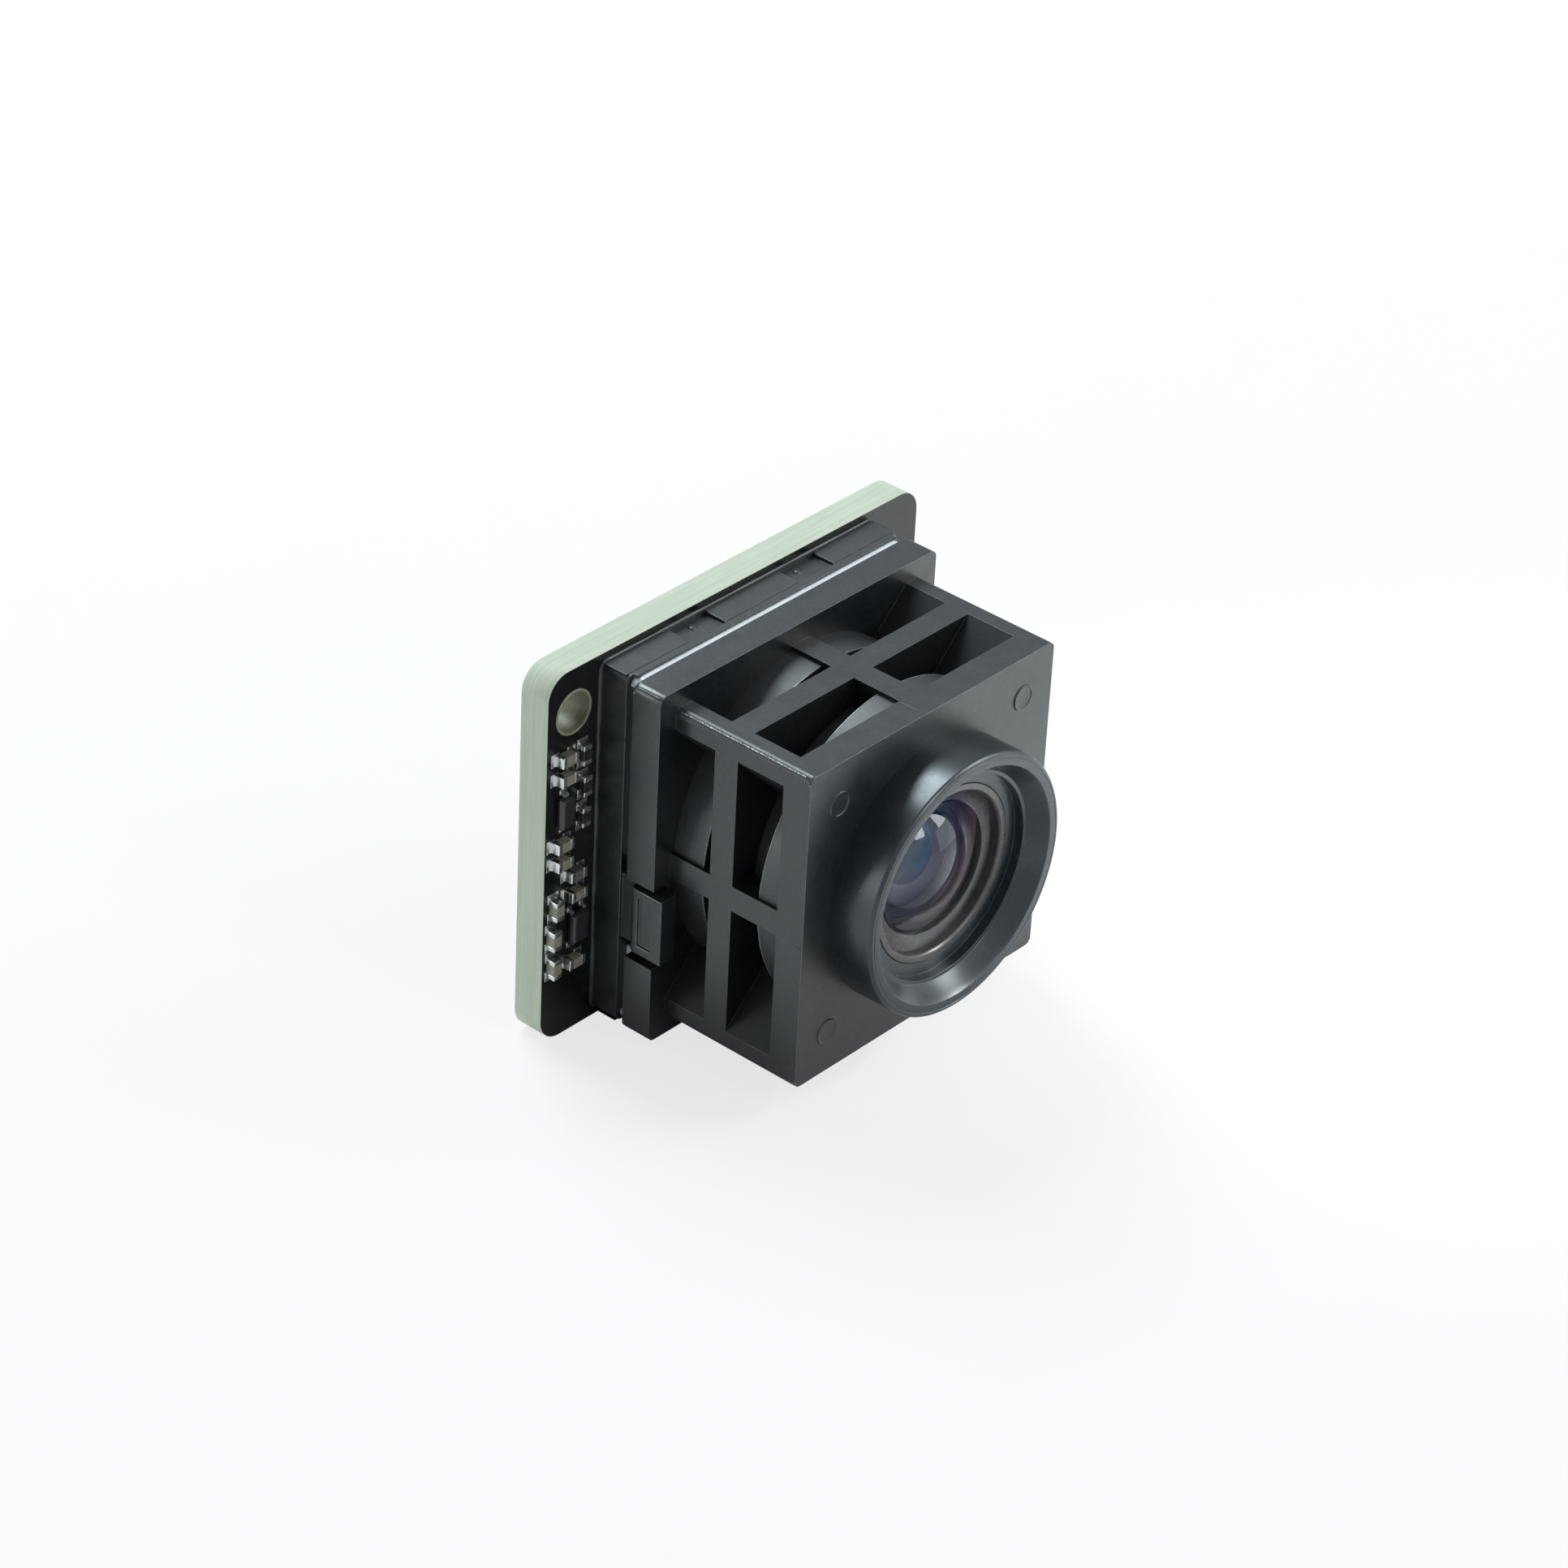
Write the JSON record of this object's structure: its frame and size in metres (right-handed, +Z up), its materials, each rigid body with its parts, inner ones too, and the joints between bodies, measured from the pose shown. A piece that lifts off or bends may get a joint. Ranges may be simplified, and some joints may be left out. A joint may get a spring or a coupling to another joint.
{
  "type": "camera module",
  "caption": "Board camera: a cored square lens housing with a hooded glass lens, clipped and glued to a small circuit board with screw holes and a rear board connector.",
  "frame": {"origin": "on the optical axis, midway between the two screw holes, in the rear face of the board", "axes": "-Y is the way the lens looks, +Y leaves the board's rear face, +Z is up, and +X is to the right of somebody who faces the lens"},
  "size_m": [0.024, 0.0165, 0.0188],
  "materials": {
    "board_black": "black solder mask over glass-epoxy board, semi-gloss",
    "sensor_ceramic": "dark fired ceramic, matte",
    "sensor_silicon": "polished silicon, dark violet",
    "cover_glass": "clear flat glass",
    "adhesive": "cured dark adhesive bead, satin",
    "holder_plastic": "black moulded plastic, fine satin",
    "seal_rubber": "pale blue-grey silicone, squeezed, satin",
    "housing_plastic": "black moulded plastic, smooth satin",
    "filter_glass": "blue-green coated glass",
    "barrel_plastic": "black, finely sparked texture",
    "lens_glass": "clear coated glass",
    "front_lens_glass": "glass with blue anti-reflection coating",
    "stop_black": "dead matte black film",
    "spacer_black": "matte black",
    "ring_black": "black, turned, semi-gloss",
    "connector_plastic": "black high-temperature plastic, matte",
    "contact_gold": "gold-plated copper alloy",
    "package_black": "black moulded epoxy, matte, with tinned leads",
    "ferrite_grey": "grey-pink fired body with tinned ends",
    "capacitor_ceramic": "tan fired body with tinned ends",
    "resistor_ceramic": "black glazed film with tinned ends"
  },
  "bodies": {
    "root": {"circuit_board": "board_black", "sensor_package": "sensor_ceramic", "sensor_die": "sensor_silicon", "sensor_cover_glass": "cover_glass", "holder_bond": "adhesive", "sensor_holder": "holder_plastic", "flange_seal": "seal_rubber", "lens_housing": "housing_plastic", "infrared_filter": "filter_glass", "lens_barrel": "barrel_plastic", "rear_lens": "lens_glass", "rear_spacer": "spacer_black", "aperture_stop": "stop_black", "second_lens": "lens_glass", "front_spacer": "spacer_black", "front_lens": "front_lens_glass", "retaining_ring": "ring_black", "connector_shell": "connector_plastic", "connector_contacts": "contact_gold", "diode": "package_black", "regulator": "package_black", "ferrite_1": "ferrite_grey", "capacitor_1": "capacitor_ceramic", "capacitor_2": "capacitor_ceramic", "capacitor_3": "capacitor_ceramic", "capacitor_4": "capacitor_ceramic", "capacitor_5": "capacitor_ceramic", "capacitor_6": "capacitor_ceramic", "capacitor_7": "capacitor_ceramic", "capacitor_8": "capacitor_ceramic", "capacitor_9": "capacitor_ceramic", "resistor_1": "resistor_ceramic", "resistor_2": "resistor_ceramic", "resistor_3": "resistor_ceramic"}
  },
  "joints": []
}
